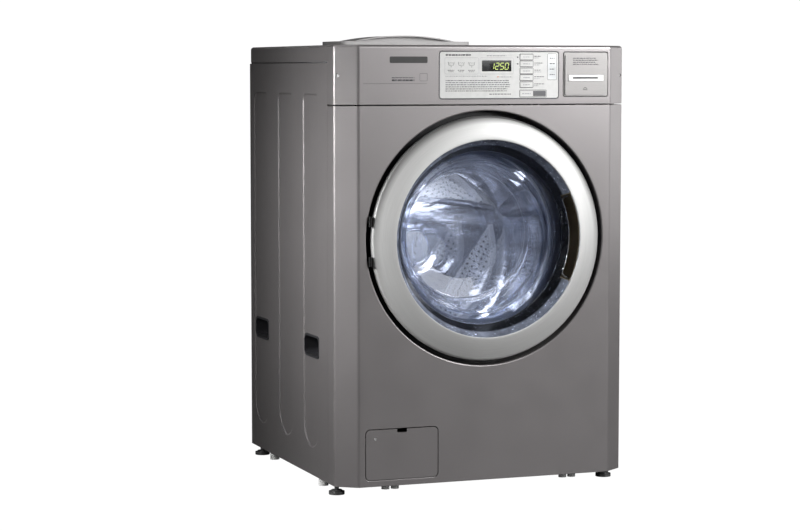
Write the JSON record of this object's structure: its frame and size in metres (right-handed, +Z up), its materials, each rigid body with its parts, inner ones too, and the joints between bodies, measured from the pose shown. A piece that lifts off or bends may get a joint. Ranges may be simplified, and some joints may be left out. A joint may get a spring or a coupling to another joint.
{
  "type": "front load laundry washer",
  "caption": "Commercial front-load laundry washer with a round glass door, steel trim ring, bevelled front corners, card reader and top dispenser.",
  "frame": {"origin": "on the floor, under the middle of the machine's box", "axes": "+Z up, -Y towards the front (door side), +X to the right as seen from the front"},
  "size_m": [0.686, 0.7201, 1.011],
  "materials": {
    "cabinet_paint": "satin metallic",
    "console_paint": "satin metallic",
    "base_steel": "satin",
    "rear_steel": "satin",
    "grip_plastic": "fine texture",
    "black_plastic": "satin",
    "bezel_plastic": "polished",
    "overlay_film": "satin",
    "display_lens": "polished",
    "reader_plate": "brushed",
    "reader_bezel": "satin",
    "button_plastic": "satin",
    "circuit_board": "satin",
    "screw_steel": "polished",
    "dispenser_paint": "satin",
    "valve_plastic": "satin",
    "spring_steel": "satin",
    "damper_plastic": "satin",
    "hose_rubber": "matte",
    "gasket_rubber": "matte",
    "tub_plastic": "satin",
    "ballast": "rough",
    "copper_winding": "satin",
    "bearing_steel": "polished",
    "drum_steel": "brushed",
    "cast_aluminium": "cast",
    "lifter_plastic": "satin",
    "ring_steel": "brushed",
    "door_glass": "polished",
    "hinge_steel": "satin",
    "nut_steel": "zinc plated",
    "foot_steel": "satin",
    "glide_plastic": "satin",
    "filter_plastic": "satin"
  },
  "bodies": {
    "cabinet": {"base_pan": "base_steel", "side_panel_left": "cabinet_paint", "side_panel_right": "cabinet_paint", "side_grip_pockets": "grip_plastic", "rear_panel": "rear_steel", "rear_service_cover": "rear_steel", "top_plate": "cabinet_paint", "front_panel": "cabinet_paint", "door_surround": "black_plastic", "console_housing": "console_paint", "control_overlay": "overlay_film", "display_window": "display_lens", "card_reader": "reader_plate", "card_slot_bezel": "reader_bezel", "control_board": "circuit_board", "panel_screws": "screw_steel", "dispenser_housing": "dispenser_paint", "inlet_valves": "valve_plastic", "suspension_springs": "spring_steel", "suspension_dampers": "damper_plastic", "drain_pump": "valve_plastic", "drain_hose": "hose_rubber", "sump_hose": "hose_rubber", "door_lock": "black_plastic", "hinge_bracket": "hinge_steel", "power_terminal": "black_plastic", "foot_locknuts": "nut_steel", "door_gasket": "gasket_rubber", "base_glides": "glide_plastic"},
    "tub": {"tub_front": "tub_plastic", "tub_rear": "tub_plastic", "counterweights": "ballast", "motor_stator": "copper_winding", "drum_bearings": "bearing_steel"},
    "drum": {"drum_shell": "drum_steel", "drum_spider": "cast_aluminium", "drum_lifters": "lifter_plastic", "drive_shaft": "bearing_steel", "motor_rotor": "base_steel", "drum_hub_cap": "lifter_plastic"},
    "door": {"door_trim_ring": "ring_steel", "door_frame": "black_plastic", "door_bezel": "bezel_plastic", "door_glass": "door_glass", "door_hinge_leaf": "hinge_steel"},
    "latch": {"latch_hook": "hinge_steel"},
    "access_door": {"access_door": "cabinet_paint"},
    "coin_lock": {"coin_lock": "screw_steel"},
    "filter_knob": {"filter_knob": "filter_plastic"},
    "dispenser_lid": {"dispenser_lid": "dispenser_paint"},
    "cycle_button_1": {"cycle_button_1": "button_plastic"},
    "cycle_button_2": {"cycle_button_2": "button_plastic"},
    "cycle_button_3": {"cycle_button_3": "button_plastic"},
    "cycle_button_4": {"cycle_button_4": "button_plastic"},
    "cycle_button_5": {"cycle_button_5": "button_plastic"},
    "start_button": {"start_button": "button_plastic"},
    "foot_front_left": {"foot_front_left": "foot_steel"},
    "foot_front_right": {"foot_front_right": "foot_steel"},
    "foot_rear_left": {"foot_rear_left": "foot_steel"},
    "foot_rear_right": {"foot_rear_right": "foot_steel"}
  },
  "joints": [
    {"name": "door_hinge", "type": "hinge", "parent": "cabinet", "child": "door", "pos_m": [-0.2715, -0.3425, 0.56], "axis": [0, 0, -1], "range_deg": [0, 150]},
    {"name": "latch_pivot", "type": "hinge", "parent": "door", "child": "latch", "pos_m": [0.247, -0.3155, 0.56], "axis": [0, 0, 1], "range_deg": [0, 8], "stiffness_Nm_per_rad": 0.4, "springref_deg": -17.19},
    {"name": "tub_suspension", "type": "slide", "parent": "cabinet", "child": "tub", "axis": [0, 0, 1], "range_m": [-0.012, 0.01], "stiffness_N_per_m": 20000, "springref_m": 0.02003, "deforming": ["suspension_springs", "suspension_dampers", "sump_hose", "door_gasket"]},
    {"name": "drum_spin", "type": "hinge", "parent": "tub", "child": "drum", "pos_m": [0, 0.13276, 0.50656], "axis": [0, 0.9903, -0.1392], "continuous": true},
    {"name": "dispenser_lid_hinge", "type": "hinge", "parent": "cabinet", "child": "dispenser_lid", "pos_m": [0, 0.3055, 1], "axis": [-1, 0, 0], "range_deg": [0, 95]},
    {"name": "access_door_hinge", "type": "hinge", "parent": "cabinet", "child": "access_door", "pos_m": [-0.1975, -0.3333, 0.051], "axis": [1, 0, 0], "range_deg": [0, 90]},
    {"name": "coin_lock_turn", "type": "hinge", "parent": "access_door", "child": "coin_lock", "pos_m": [-0.2595, -0.3375, 0.129], "axis": [0, 1, 0], "range_deg": [0, 90]},
    {"name": "filter_knob_turn", "type": "hinge", "parent": "cabinet", "child": "filter_knob", "pos_m": [-0.197, -0.2795, 0.096], "axis": [0, -1, 0], "range_deg": [0, 180]},
    {"name": "cycle_button_1_press", "type": "slide", "parent": "cabinet", "child": "cycle_button_1", "axis": [0, 1, 0], "range_m": [0, 0.001], "stiffness_N_per_m": 500, "springref_m": -0.001},
    {"name": "cycle_button_2_press", "type": "slide", "parent": "cabinet", "child": "cycle_button_2", "axis": [0, 1, 0], "range_m": [0, 0.001], "stiffness_N_per_m": 500, "springref_m": -0.001},
    {"name": "cycle_button_3_press", "type": "slide", "parent": "cabinet", "child": "cycle_button_3", "axis": [0, 1, 0], "range_m": [0, 0.001], "stiffness_N_per_m": 500, "springref_m": -0.001},
    {"name": "cycle_button_4_press", "type": "slide", "parent": "cabinet", "child": "cycle_button_4", "axis": [0, 1, 0], "range_m": [0, 0.001], "stiffness_N_per_m": 500, "springref_m": -0.001},
    {"name": "cycle_button_5_press", "type": "slide", "parent": "cabinet", "child": "cycle_button_5", "axis": [0, 1, 0], "range_m": [0, 0.001], "stiffness_N_per_m": 500, "springref_m": -0.001},
    {"name": "start_button_press", "type": "slide", "parent": "cabinet", "child": "start_button", "axis": [0, 1, 0], "range_m": [0, 0.001], "stiffness_N_per_m": 500, "springref_m": -0.001},
    {"name": "foot_front_left_level", "type": "slide", "parent": "cabinet", "child": "foot_front_left", "axis": [0, 0, 1], "range_m": [-0.012, 0.006]},
    {"name": "foot_front_right_level", "type": "slide", "parent": "cabinet", "child": "foot_front_right", "axis": [0, 0, 1], "range_m": [-0.012, 0.006]},
    {"name": "foot_rear_left_level", "type": "slide", "parent": "cabinet", "child": "foot_rear_left", "axis": [0, 0, 1], "range_m": [-0.012, 0.006]},
    {"name": "foot_rear_right_level", "type": "slide", "parent": "cabinet", "child": "foot_rear_right", "axis": [0, 0, 1], "range_m": [-0.012, 0.006]}
  ]
}
